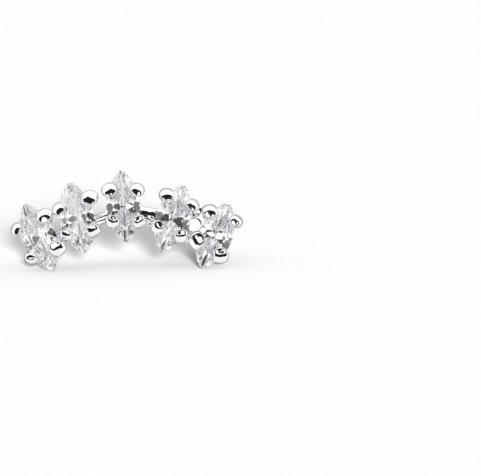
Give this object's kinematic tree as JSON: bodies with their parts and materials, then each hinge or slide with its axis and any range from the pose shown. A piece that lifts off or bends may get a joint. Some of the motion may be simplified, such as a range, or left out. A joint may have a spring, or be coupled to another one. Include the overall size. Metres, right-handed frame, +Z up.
{
  "type": "stud earring",
  "caption": "Ear climber stud: an arc of marquise stones in four-claw baskets, with a straight post and a butterfly clutch behind one end.",
  "frame": {"origin": "middle of the bounding box in X and Y, on the surface that the earring rests on", "axes": "+X along the row of stones from stone_1 to stone_5, -Y out of the stones' faces, +Y along the post to the back, +Z up; the face leans back 14 degrees, as the earring rests on the lower tips of its end stones and the end of its post"},
  "size_m": [0.0164, 0.0124, 0.0069],
  "materials": {
    "silver": "mirror-polished, rhodium-plated silver",
    "zirconia": "faceted and polished cubic zirconia"
  },
  "bodies": {
    "root": {"setting": "silver", "stone_1": "zirconia", "stone_2": "zirconia", "stone_3": "zirconia", "stone_4": "zirconia", "stone_5": "zirconia", "butterfly_clutch": "silver"}
  },
  "joints": []
}
